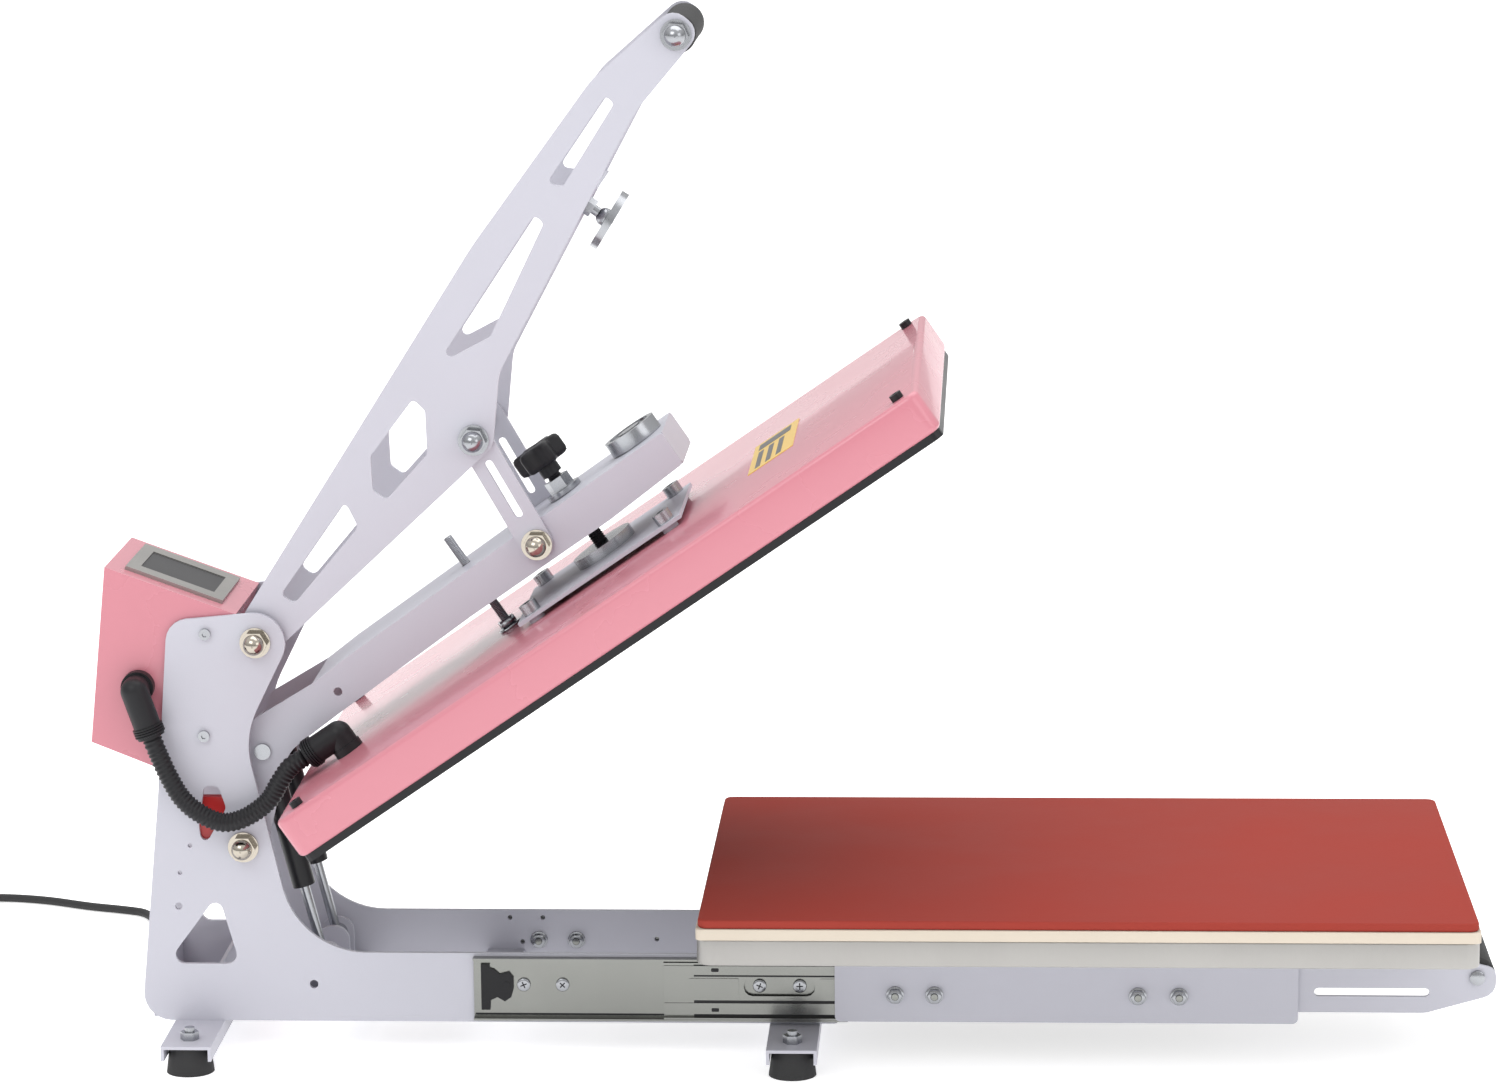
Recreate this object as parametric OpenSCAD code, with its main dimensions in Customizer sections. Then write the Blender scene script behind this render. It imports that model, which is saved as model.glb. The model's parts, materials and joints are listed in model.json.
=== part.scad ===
// Clamshell heat press with a slide-out bed, standing open with the bed drawn out.
// Millimetres, +Z up, +X towards the operator, rubber feet standing on Z = 0.

/* [Work area] */
// Bed and platen length, front to back
bed_len = 600; // [580:5:610]
// Bed and platen width, side to side
bed_wid = 400; // [360:5:404]
// Silicone pad thickness
pad_t = 7; // [5:0.5:7]

/* [Frame] */
// Side plate thickness
side_t = 4; // [3:0.5:5]
// Tilt of the platen arm when the press stands open, in degrees
arm_open = 34.35; // [33.5:0.05:34.5]
// Handle angle above level when the press stands open, in degrees
handle_open = 54.7; // [54:0.1:55]

/* [Controls] */
// Foam hand grip diameter
grip_d = 31; // [26:1:36]
// Pressure knob diameter across its lobes
knob_d = 44; // [36:1:50]
// Rubber foot diameter at the floor
foot_d = 38; // [35:1:44]
// Corrugated conduit outside diameter
conduit_d = 15.8; // [13:0.2:17]

/* [Hidden] */
$fn = 48;

// Colours
powder = [0.82, 0.82, 0.87];
pink = [0.93, 0.62, 0.67];
steel = [0.72, 0.73, 0.75];
dark = [0.08, 0.08, 0.09];
brick = [0.62, 0.25, 0.21];
cream = [0.9, 0.84, 0.72];

// Pivot points in side view, [x, z]
handle_pivot = [-424, 337];
arm_pivot = [-438, 170];
spring_foot = [-378.9, 69.5];
// Points that ride on the arm, [along, above] from its pivot with the arm level
spring_head = [54.6, 53];
link_foot = [334.5, 67];
spindle_u = 368;
magnet_u = 439;
stud_u = 268;
// Points that ride on the handle, [along, above] from its pivot
link_head = [233.8, -50.5];
grip_at = [587.4, 0];
disc_at = [430, -40];
disc_tilt = 3.6;

// Layers outwards from the middle plane
box_y = 63.5;
side_y = 64;
side_out = side_y + side_t;
handle_y = 56;
handle_t = 4;
link_y = 51.5;
link_t = 4;
arm_y = 51;
arm_t = 3;
spring_y = 38;
conduit_y = 84;
pivot_r = 6;
bore_r = pivot_r + 0.05;

// Heights
rail_z = 26;
bed_z = 111;
board_z = 131.3;
pad_z = 140;
bed_x = 233;
foot_x = [-477, 2.5];
foot_y = 121;

// Shared geometry
function unit(v) = v / norm(v);
function xy(p) = [p.x, p.y];
function bend(a, b, c, r) =
    let (u = unit(a - b), v = unit(c - b), half = acos(u * v) / 2,
        o = b + unit(u + v) * r / sin(half),
        p = b + u * r / tan(half) - o, q = b + v * r / tan(half) - o,
        start = atan2(p.y, p.x), turn = (atan2(q.y, q.x) - start + 540) % 360 - 180,
        n = max(2, ceil(abs(turn) * (r + 6) / 400)))
    [for (i = [0:n]) o + r * [cos(start + turn * i / n), sin(start + turn * i / n)]];
function rounded(pts) =
    let (n = len(pts))
    [for (i = [0:n - 1]) each pts[i][2] > 0
        ? bend(xy(pts[(i + n - 1) % n]), xy(pts[i]), xy(pts[(i + 1) % n]), pts[i][2])
        : [xy(pts[i])]];
function turned(p, a) = [p.x * cos(a) - p.y * sin(a), p.x * sin(a) + p.y * cos(a)];
arm_link = arm_pivot + turned(link_foot, arm_open);
handle_link = handle_pivot + turned(link_head, handle_open);
spring_top = arm_pivot + turned(spring_head, arm_open);
spring_dir = spring_top - spring_foot;

// Side view outline [x, z] made solid from y0 to y1
module wall(y0, y1) {
    translate([0, y1, 0]) rotate([90, 0, 0]) linear_extrude(y1 - y0) children();
}

module outline(pts) {
    polygon(rounded(pts));
}

module pin(at, r, y0, y1) {
    translate([at.x, y0, at.y]) rotate([-90, 0, 0]) cylinder(r = r, h = y1 - y0);
}

module each_side() {
    children();
    mirror([0, 1, 0]) children();
}

// Frames that ride on the arm, the handle, the control box and the gas springs
module on_arm() {
    translate([arm_pivot.x, 0, arm_pivot.y]) rotate([0, -arm_open, 0]) children();
}

module on_handle() {
    translate([handle_pivot.x, 0, handle_pivot.y]) rotate([0, -handle_open, 0]) children();
}

box_tilt = 20.07;
module on_box() {
    translate([-543.5, 0, 397]) rotate([0, box_tilt, 0]) children();
}

module on_spring(s) {
    translate([spring_foot.x, s * spring_y, spring_foot.y])
        rotate([0, atan2(spring_dir.x, spring_dir.y), 0]) children();
}

// Washer, hexagon and dome on a threaded end, standing on +Z
module acorn_nut(r) {
    difference() {
        union() {
            cylinder(r = r * 2.04, h = r / 3);
            translate([0, 0, r / 3]) cylinder(r = r * 1.77, h = r * 1.3, $fn = 6);
            translate([0, 0, r * 1.6]) rotate_extrude() intersection() {
                circle(r = r * 1.4);
                square(r * 1.4);
            }
        }
        translate([0, 0, -1]) cylinder(r = r, h = 1 + r * 1.75);
    }
}

module acorn_on_left(at, y, r) {
    translate([at.x, -y, at.y]) rotate([90, 0, 0]) acorn_nut(r);
}

module screw_head(r, h) {
    difference() {
        cylinder(r = r, h = h);
        translate([0, 0, h * 0.5]) cylinder(r = r * 0.5, h = h, $fn = 6);
    }
}

// Base frame
screw_at = [[-463.8, 344], [-466.9, 261.1]];

module side_outline() {
    difference() {
        outline([[-524.2, rail_z, 22], [-505.3, 215.3, 30], [-494.3, 354.5, 18],
            [-383.5, 364.5, 24.5], [-435.3, 260.2, 70], [-395.7, 83, 68],
            [38, 83, 4], [38, rail_z, 4]]);
        outline([[-503, 73, 7.5], [-459.7, 131, 6], [-443.4, 73, 8]]);
        outline([[-468.5, 220, 4], [-457, 220, 4], [-451, 202, 6], [-471, 167, 4],
            [-473.5, 187, 4]]);
    }
}

module side_plate_left() color(powder) difference() {
    wall(-side_out, -side_y) side_outline();
    pin(handle_pivot, pivot_r, -80, 0);
    pin(arm_pivot, pivot_r, -80, 0);
    for (p = screw_at) pin(p, 3, -80, 0);
    pin([-481.2, 170.9], 1.8, -80, 0);
    pin([-489.9, 148.5], 1.8, -80, 0);
    pin([-491.7, 120.8], 3, -80, 0);
    pin([-384.2, 56.5], 3.5, -80, 0);
    for (p = [[-238.7, 76.6], [-211.4, 76.6], [-228.5, 56], [-117, 58.6]]) pin(p, 2, -80, 0);
}

module side_plate_right() {
    mirror([0, 1, 0]) side_plate_left();
}

module crossmembers() color(powder) {
    for (x = [-515, -22]) translate([x, -side_y, 28]) difference() {
        cube([52, 2 * side_y, 36]);
        translate([3, -1, 3]) cube([46, 2 * side_y + 2, 40]);
    }
    translate([-257, -side_y, 46]) cube([30, 2 * side_y, 4]);
}

module foot_brackets() color(powder) for (x = foot_x) difference() {
    translate([x - 20, -143, 14]) cube([40, 286, rail_z - 14]);
    translate([x - 17.5, -144, 13]) cube([35, 288, rail_z - 15.5]);
    for (s = [-1, 1]) translate([x, s * foot_y, 13]) cylinder(r = 4, h = 20);
}

module rubber_feet() color(dark) for (x = foot_x, s = [-1, 1])
    translate([x, s * foot_y, 0]) difference() {
        cylinder(r1 = foot_d / 2, r2 = foot_d / 2 - 3, h = rail_z - 2.5);
        translate([0, 0, 8]) cylinder(r = 4, h = 30);
    }

module foot_studs() color(steel) for (x = foot_x, s = [-1, 1])
    translate([x, s * foot_y, 0]) {
        translate([0, 0, 8]) cylinder(r = 4, h = 28);
        translate([0, 0, rail_z]) cylinder(r = 7.5, h = 6.5, $fn = 6);
    }

module box_screws() color(steel) each_side() for (p = screw_at) {
    pin(p, 3, -side_out, -box_y);
    translate([p.x, -side_out, p.y]) rotate([90, 0, 0]) screw_head(4.5, 3.2);
}

module pivot_rods() color(steel) for (p = [handle_pivot, arm_pivot])
    pin(p, pivot_r, -side_out - 10.5, side_out + 10.5);

module pivot_nuts() color(steel) each_side() {
    acorn_on_left(handle_pivot, side_out, pivot_r);
    acorn_on_left(arm_pivot, side_out, pivot_r);
    difference() {
        pin(arm_pivot, 10, -side_y, -arm_y - 0.5);
        pin(arm_pivot, pivot_r, -80, 0);
    }
}

// Control box and wiring
box_len = 110.6;
box_deep = 141.2;
module box_section(w) {
    polygon([[w, -w], [box_len - w, -w], [box_len - w, w - box_deep], [34.7 + w, w - 138.7]]);
}

module control_box_case() color(pink) on_box() difference() {
    wall(-box_y, box_y) box_section(0);
    wall(2 - box_y, box_y - 2) box_section(2);
    translate([26, -28, -5]) cube([58, 56, 10]);
}

module display_bezel() color(steel) on_box() difference() {
    translate([14, -47, 0]) cube([82, 94, 3]);
    translate([24, -30, -1]) cube([62, 60, 5]);
}

module display_screen() color(dark) on_box()
    translate([24, -30, 0]) cube([62, 60, 2]);

module control_board() color([0.1, 0.35, 0.2]) on_box() {
    translate([22, -45, -14]) cube([72, 90, 2]);
    for (x = [32, 60]) translate([x, -35, -32]) cube([18, 26, 18]);
}

module on_box_rear() {
    on_box() rotate([0, -104.05, 0]) children();
}

module mains_switch_body() color(dark) on_box_rear() translate([-45, 0, 0.05]) difference() {
    translate([-16, -13, 0]) cube([32, 26, 4]);
    translate([-12.5, -10, 1]) cube([25, 20, 5]);
}

module mains_rocker() color([0.6, 0.1, 0.1]) on_box_rear() translate([-45, 0, 0.05]) {
    intersection() {
        translate([-11, -9, 3.2]) cube([22, 18, 6]);
        translate([0, -9, -24.2]) rotate([-90, 0, 0]) cylinder(r = 30.5, h = 18, $fn = 96);
    }
    translate([0, -9.7, 2.6]) rotate([-90, 0, 0]) cylinder(r = 1.4, h = 19.4);
}

cord_exit = [-520, 84, 290];
module cord_gland() color(dark) translate([cord_exit.x, box_y, cord_exit.z])
    rotate([-90, 0, 0]) difference() {
        union() {
            cylinder(r = 11, h = 5);
            cylinder(r1 = 8, r2 = 5.5, h = cord_exit.y - box_y);
        }
        translate([0, 0, 8]) cylinder(r = 3.65, h = 30);
    }

elbow_at = [-519, 300.8];
mouth_at = [-506.5, 263.9];
module box_elbow() color(dark) {
    pin(elbow_at, 13, -box_y - 9, -box_y);
    pin(elbow_at, 11, -conduit_y, -box_y - 9);
    translate([elbow_at.x, -conduit_y, elbow_at.y]) {
        sphere(r = 11);
        rotate([0, atan2(mouth_at.x - elbow_at.x, mouth_at.y - elbow_at.y), 0])
            cylinder(r = 11, h = norm(mouth_at - elbow_at));
    }
}

// Hand-chosen route of the conduit in side view
conduit_mouth = arm_pivot + turned([88, 34], arm_open);
conduit_route = [mouth_at, [-502.8, 253.5], [-494.2, 232.7], [-483.6, 214], [-469.6, 201.5],
    [-451.4, 194.2], [-433, 198.5], [-415, 211.5], [-405.5, 226.5], [-396, 240],
    conduit_mouth];
conduit_pts = [for (p = conduit_route) [p.x, -conduit_y, p.y]];

// A tube of n sides swept along points
function heading(pts, i) =
    unit(pts[min(i + 1, len(pts) - 1)] - pts[max(i - 1, 0)]);
function side_of(t) = abs(t.z) > 0.9 ? unit(cross(t, [1, 0, 0])) : unit(cross(t, [0, 0, 1]));
function next_side(t, s) = unit(s - (s * t) * t);
function sides(pts, i = 0, s = undef) =
    i == len(pts) ? [] :
    let (t = heading(pts, i), n = s == undef ? side_of(t) : next_side(t, s))
    concat([n], sides(pts, i + 1, n));
module tube(pts, r, n) {
    across = sides(pts);
    rings = [for (i = [0:len(pts) - 1], k = [0:n - 1])
        let (t = heading(pts, i), u = across[i], v = cross(t, u))
        pts[i] + r * (cos(360 * k / n) * u + sin(360 * k / n) * v)];
    last = len(pts) - 1;
    skin = [for (i = [0:last - 1], k = [0:n - 1])
        let (a = i * n + k, b = i * n + (k + 1) % n)
        each [[a, a + n, b], [b, a + n, b + n]]];
    caps = [[for (k = [0:n - 1]) k], [for (k = [n - 1:-1:0]) last * n + k]];
    polyhedron(rings, concat(skin, caps));
}

module conduit() color(dark) tube(conduit_pts, conduit_d / 2, 12);

module limit_switch() color([0.7, 0.1, 0.1])
    translate([-474, -side_y, 174]) cube([24, 9, 36]);

// Drawer slides: outer on the base, middle, inner on the drawer
module slide_channel(x, z0, z1, y_web, y_lip, t) {
    translate([x, -y_web - t, z0]) cube([300, t, z1 - z0]);
    y = min(-y_web, -y_lip);
    for (z = [z0, z1 - t]) translate([x, y, z]) cube([300, abs(y_lip - y_web), t]);
}

module slides_outer() color(steel) each_side() {
    slide_channel(-255, 29.5, 80.5, side_out, 76, 1.5);
    for (x = [-25.5, 6.6, -214.8, -183.6]) pin([x, 57.8], 5, -71.5, -69.5);
    for (x = [-214.8, -183.6]) pin([x, 57.8], 5.5, -side_y, 4 - side_y);
}

module slides_middle() color(steel) each_side() difference() {
    slide_channel(-102, 31.6, 78.4, 72.2, 77.5, 1.3);
    wall(-80, -70) outline([[-38, 50, 7], [19, 50, 7], [19, 66, 7], [-38, 66, 7]]);
}

module slides_inner() color(steel) each_side()
    slide_channel(45, 34, 76, 79.5, 74.5, 1.5);

module slide_stops() color(dark) each_side()
    translate([-249, -71.6, 37]) cube([26, 2.1, 38]);

// Gas springs
module gas_spring_bracket() color(powder) {
    each_side() for (y = [-55, -26]) wall(y, y + 4)
        outline([[-399, 40, 6], [-367, 40, 6], [-367, 80, 12], [-392, 80, 12]]);
    translate([-410, -side_y, 36]) cube([54, 2 * side_y, 4]);
    each_side() pin(spring_foot, 4, -55, -22);
}

module gas_rods() color(steel) for (s = [-1, 1]) on_spring(s) {
    difference() {
        union() {
            rotate([90, 0, 0]) cylinder(r = 8, h = 10, center = true);
            cylinder(r = 4, h = 140);
        }
        rotate([90, 0, 0]) cylinder(r = 4.05, h = 30, center = true);
    }
}

spring_len = norm(spring_dir);
module gas_cylinders() color(dark) for (s = [-1, 1]) on_spring(s) difference() {
    union() {
        translate([0, 0, spring_len - 117]) cylinder(r = 9.3, h = 107);
        translate([0, 0, spring_len]) rotate([90, 0, 0]) cylinder(r = 11, h = 12, center = true);
    }
    translate([0, 0, spring_len - 118]) cylinder(r = 4.05, h = 106);
    translate([0, 0, spring_len]) rotate([90, 0, 0]) cylinder(r = 6.5, h = 30, center = true);
}

// Handle
module handle_outline() difference() {
    outline([[-20, 18.7, 17.5], [360, 37, 300], [520, 34, 60], [603, 14, 13],
        [601, -15, 13], [520, -8, 80], [289, -37, 30], [238, -66, 15], [-20, -12.6, 17.5]]);
    outline([[134, 5, 3], [123, -15, 5], [42, -8, 5], [42, 5, 4]]);
    outline([[233, 7, 3], [231, -6, 5], [203, -27, 5], [154, -21, 4], [154, -8, 5],
        [176, 9, 5]]);
    outline([[409, 11, 4], [407, 1, 3], [309, -15, 6], [266, 7, 4]]);
    outline([[517, 18, 3], [516, 9, 3], [440, 5, 3], [434, 17, 4]]);
}

module handle_plate_left() color(powder) on_handle() difference() {
    union() {
        wall(-handle_y - handle_t, -handle_y) handle_outline();
        pin([0, 0], 10, -side_y + 0.4, -handle_y);
    }
    pin([0, 0], bore_r, -80, 0);
    pin(link_head, pivot_r, -80, 0);
    pin(grip_at, pivot_r, -80, 0);
}

module handle_plate_right() {
    mirror([0, 1, 0]) handle_plate_left();
}

handle_out = handle_y + handle_t;
module grip_bar() color(steel) on_handle() {
    pin(grip_at, pivot_r, -handle_out - 10.5, handle_out + 10.5);
    each_side() acorn_on_left(grip_at, handle_out, pivot_r);
}

module handle_grip() color(dark) on_handle() difference() {
    pin(grip_at, grip_d / 2, -handle_y, handle_y);
    pin(grip_at, pivot_r, -80, 80);
}

module armature_plate() color(powder) on_handle() difference() {
    translate([410, -handle_y, -18]) cube([44, 2 * handle_y, 4]);
    translate([disc_at.x, 0, -20]) cylinder(r = 4, h = 10);
}

module armature_disc() color(steel) on_handle() translate([disc_at.x, 0, disc_at.y]) {
    rotate([0, -disc_tilt, 0]) translate([0, 0, -3.15]) cylinder(r = 25.4, h = 6.3);
    translate([0, 0, 4]) sphere(r = 7.5);
    cylinder(r = 4, h = 34);
    translate([0, 0, 15.4]) cylinder(r = 7.5, h = 6.5, $fn = 6);
    translate([0, 0, 26.1]) cylinder(r = 7.5, h = 6.5, $fn = 6);
}

module link_pivot_rod() color(steel) on_handle() {
    pin(link_head, pivot_r, -handle_out - 10.5, handle_out + 10.5);
    each_side() acorn_on_left(link_head, handle_out, pivot_r);
}

// Links between handle and platen arm
link_dir = arm_link - handle_link;
link_len = norm(link_dir);
module on_link() {
    translate([handle_link.x, 0, handle_link.y])
        rotate([0, -atan2(link_dir.y, link_dir.x), 0]) children();
}

module links() color(powder) each_side() on_link() difference() {
    wall(-link_y - link_t, -link_y) outline([[-13.1, -13, 13], [link_len + 13.1, -13, 13],
        [link_len + 13.1, 13, 13], [-13.1, 13, 13]]);
    wall(-80, 0) outline([[20, -3.2, 3], [72, -3.2, 3], [72, 3.2, 3], [20, 3.2, 3]]);
    pin([0, 0], bore_r, -80, 0);
    pin([link_len, 0], pivot_r, -80, 0);
}

module link_lower_nuts() color(steel) each_side() on_link() {
    pin([link_len, 0], pivot_r, -link_y - link_t - 10.5, -link_y);
    acorn_on_left([link_len, 0], link_y + link_t, pivot_r);
}

// Platen arm, drawn level
module arm_cheek() {
    outline([[-24, 1.2, 16.9], [62, 78.9, 14], [119, 75.5, 20], [151, 77.6, 0],
        [318, 81.7, 0], [467, 84.3, 3], [467, 54.5, 3], [394, 50, 0], [257, 48.6, 0],
        [129, 44, 0], [71, 41, 28], [-1.2, -24, 16.9]]);
}

module platen_arm() color(powder) on_arm() difference() {
    union() {
        each_side() wall(-arm_y, arm_t - arm_y) arm_cheek();
        wall(arm_t - arm_y, arm_y - arm_t) polygon([[119, 75.5], [151, 77.6], [318, 81.7],
            [467, 84.3], [467, 54.5], [464, 54.5], [464, 81.2], [318, 78.7], [151, 74.6],
            [119, 72.5]]);
    }
    pin([0, 0], bore_r, -80, 80);
    pin(spring_head, 4, -80, 80);
    pin([133, 58.7], 3.5, -80, 80);
    pin(link_foot, pivot_r, -80, 80);
    translate([spindle_u, 0, 60]) cylinder(r = 7, h = 40);
    translate([stud_u, 0, 60]) cylinder(r = 4.5, h = 40);
}

module arm_pins() color(steel) on_arm() {
    pin(spring_head, 4, -arm_y, arm_y);
    each_side() pin(spring_head, 6.5, -arm_y - 3, -arm_y);
    pin(link_foot, pivot_r, -arm_y, arm_y);
}

module electromagnet() color(steel) on_arm() translate([magnet_u, 0, 84.3]) difference() {
    cylinder(r = 23, h = 12.2);
    translate([0, 0, 11]) difference() {
        cylinder(r = 18, h = 3);
        translate([0, 0, -1]) cylinder(r = 10, h = 5);
    }
}

module spindle_nut() color(steel) on_arm() translate([spindle_u, 0, 83.2]) difference() {
    union() {
        cylinder(r = 15, h = 4);
        translate([0, 0, 4]) cylinder(r = 11, h = 10, $fn = 6);
    }
    translate([0, 0, -1]) cylinder(r = bore_r, h = 20);
}

knob_lobes = 6;
module pressure_knob() color(dark) on_arm() translate([spindle_u, 0, 101]) difference() {
    union() {
        cylinder(r = 8.5, h = 12);
        translate([0, 0, 9]) cylinder(r = knob_d / 2 - 7, h = 17);
        for (i = [1:knob_lobes]) rotate(i * 360 / knob_lobes + 15)
            translate([knob_d / 2 - 6.5, 0, 10]) cylinder(r = 6.5, h = 17);
    }
    translate([0, 0, -1]) cylinder(r = pivot_r, h = 21);
}

module pressure_spindle() color(steel) on_arm() translate([spindle_u, 0, 25.4])
    cylinder(r = pivot_r, h = 95.6);

// Heated platen, drawn level
cover_u = [67.7, 667];
cover_w = 205;
cover_top = 17.9;
cover_low = -16.5;
module cover_block(inset, top, low) {
    translate([0, 0, low]) linear_extrude(top - low) outline([
        [cover_u[0] + inset, inset - cover_w, 8], [cover_u[1] - inset, inset - cover_w, 8],
        [cover_u[1] - inset, cover_w - inset, 8], [cover_u[0] + inset, cover_w - inset, 8]]);
}

module heater_cover() color(pink) on_arm() difference() {
    union() {
        cover_block(0, cover_top - 4, cover_low);
        cover_block(2, cover_top, cover_top - 4);
    }
    cover_block(2.5, cover_top - 2.5, cover_low - 1);
}

platen_face = 147.4 - arm_pivot.y;
module heater_platen() color([0.5, 0.5, 0.52]) on_arm()
    cover_block(2.5, platen_face + 14, platen_face);

element_y = [-150, -50, 50, 150];
module heating_element() color(steel) on_arm() translate([0, 0, platen_face + 18]) {
    for (y = element_y) translate([170, y, 0]) rotate([0, 90, 0]) cylinder(r = 4, h = 400);
    for (y = [-100, 100]) translate([570, y, 0]) rotate(-90) rotate_extrude(angle = 180)
        translate([50, 0]) circle(r = 4);
    translate([170, 0, 0]) rotate(90) rotate_extrude(angle = 180)
        translate([50, 0]) circle(r = 4);
}

bracket_top = 25;
module heater_bracket() color(powder) on_arm() {
    translate([288, -72, bracket_top - 3]) cube([156, 144, 3]);
    for (u = [301.5, 430.5], s = [-1, 1]) translate([u, s * 60, cover_top])
        cylinder(r = 7, h = bracket_top - 3 - cover_top);
}

module thrust_collar() color(dark) on_arm() translate([spindle_u, 0, bracket_top])
    difference() {
        cylinder(r = 27, h = 8.6);
        translate([0, 0, 0.4]) cylinder(r = bore_r, h = 10);
    }

module bracket_screws() color(steel) on_arm()
    for (u = [301.5, 430.5], s = [-1, 1]) translate([u, s * 60, bracket_top])
        screw_head(7.5, 9);

module cover_screws() color(dark) on_arm()
    for (u = [87.5, 650.5], s = [-1, 1]) translate([u, s * 188, cover_top])
        screw_head(5, 5);

module guide_stud() color(steel) on_arm() translate([stud_u, 0, cover_top]) {
    cylinder(r = 4, h = 89);
    cylinder(r = 10, h = 2);
    translate([0, 0, 2]) cylinder(r = 7.5, h = 6.5, $fn = 6);
}

module heater_elbow() color(dark) on_arm() translate([121, -conduit_y, cover_top]) {
    cylinder(r = 12, h = 6);
    cylinder(r = 11, h = 34 - cover_top);
    translate([0, 0, 34 - cover_top]) {
        sphere(r = 11);
        rotate([0, -90, 0]) cylinder(r = 11, h = 30.5);
    }
}

module rating_label() color([0.95, 0.8, 0.15]) on_arm()
    translate([504, -55, cover_top]) cube([43, 130, 0.4]);

// Bed
module bed_slab(grow, z, h, r) {
    translate([0, 0, z]) linear_extrude(h) outline([
        [bed_x - bed_len / 2 - grow, -bed_wid / 2 - grow, r],
        [bed_x + bed_len / 2 + grow, -bed_wid / 2 - grow, r],
        [bed_x + bed_len / 2 + grow, bed_wid / 2 + grow, r],
        [bed_x - bed_len / 2 - grow, bed_wid / 2 + grow, r]]);
}

module bed_plate() color(steel) bed_slab(1, bed_z, board_z - bed_z, 12);

module bed_board() color(cream) bed_slab(1.5, board_z, pad_z - board_z, 14);

module silicone_pad() color(brick) bed_slab(0, pad_z, pad_t, 15);

module drawer_plates() color(powder) each_side() {
    wall(-84, -81) outline([[35, 32.5, 4], [402.5, 32.5, 4], [402.5, bed_z, 0], [35, bed_z, 0]]);
    translate([35, -110, bed_z - 3]) cube([367.5, 26, 3]);
    for (x = [83, 114.3, 275.7, 308.3]) pin([x, 54.7], 5, -86.5, -84);
}

drawer_grip_at = [543.5, 70.6];
module drawer_brackets() color(powder) each_side() wall(-81, -78) difference() {
    outline([[350, 41.5, 3], [503, 41.5, 20], [558.5, 57, 13], [558.5, 78, 8],
        [534, 84, 6], [534, bed_z, 0], [350, bed_z, 0]]);
    outline([[415, 54.8, 3.3], [506, 54.8, 3.3], [506, 61.6, 3.3], [415, 61.6, 3.3]]);
}

module drawer_grip() color(dark) {
    pin(drawer_grip_at, 15, -78, 78);
    each_side() pin(drawer_grip_at, 6, -84, -81);
}

// Mains cord, hand-chosen route from the gland to the coil on the floor
cord_r = 3.65;
cord_route = [cord_exit, [-520, 110, 289], [-521, 128, 282], [-523, 139, 266],
    [-524, 143, 240], [-525, 145, 200], [-526, 147, 160], [-527, 149, 120], [-528, 152, 80],
    [-530, 157, 50], [-533, 168, 24], [-538, 184, 9], [-545, 206, 4], [-553, 236, 4],
    [-566, 275, 4], [-578, 310, 4], [-592, 338, 4], [-612, 349, 4], [-646, 361, 4],
    [-685, 379, 4], [-720, 388, 4], [-760, 389, 4], [-798, 388.8, 4]];
coil_at = [-800, 338, 0];
coil_in = 25.4;
coil_turns = 4;
module mains_cord() color(dark) tube(cord_route, cord_r, 8);

module cord_coil() color(dark) translate([coil_at.x, coil_at.y, 0.3]) rotate_extrude()
    for (i = [0:coil_turns - 1]) translate([coil_in + cord_r + i * 2 * cord_r, cord_r])
        circle(r = cord_r + 0.05);

module mains_plug() color(dark) translate([-885, coil_at.y + coil_in + cord_r, 0]) {
    translate([-25, -16, 0]) cube([38, 32, 22.5]);
    translate([12, 0, 11.25]) rotate([0, 90, 0]) cylinder(r1 = 7, r2 = 4.5, h = 22);
    for (s = [-1, 1]) translate([-44, s * 9.5 - 2, 9.25]) cube([20, 4, 4]);
}

side_plate_left();
side_plate_right();
crossmembers();
foot_brackets();
rubber_feet();
foot_studs();
box_screws();
pivot_rods();
pivot_nuts();
control_box_case();
display_bezel();
display_screen();
control_board();
mains_switch_body();
mains_rocker();
cord_gland();
box_elbow();
conduit();
limit_switch();
slides_outer();
slides_middle();
slides_inner();
slide_stops();
gas_spring_bracket();
gas_rods();
gas_cylinders();
handle_plate_left();
handle_plate_right();
grip_bar();
handle_grip();
armature_plate();
armature_disc();
link_pivot_rod();
links();
link_lower_nuts();
platen_arm();
arm_pins();
electromagnet();
spindle_nut();
pressure_knob();
pressure_spindle();
heater_cover();
heater_platen();
heating_element();
thrust_collar();
heater_bracket();
bracket_screws();
cover_screws();
guide_stud();
heater_elbow();
rating_label();
bed_plate();
bed_board();
silicone_pad();
drawer_plates();
drawer_brackets();
drawer_grip();
mains_cord();
cord_coil();
mains_plug();
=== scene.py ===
import json
import math

import bmesh
import bpy
from mathutils import Matrix, Vector


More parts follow.
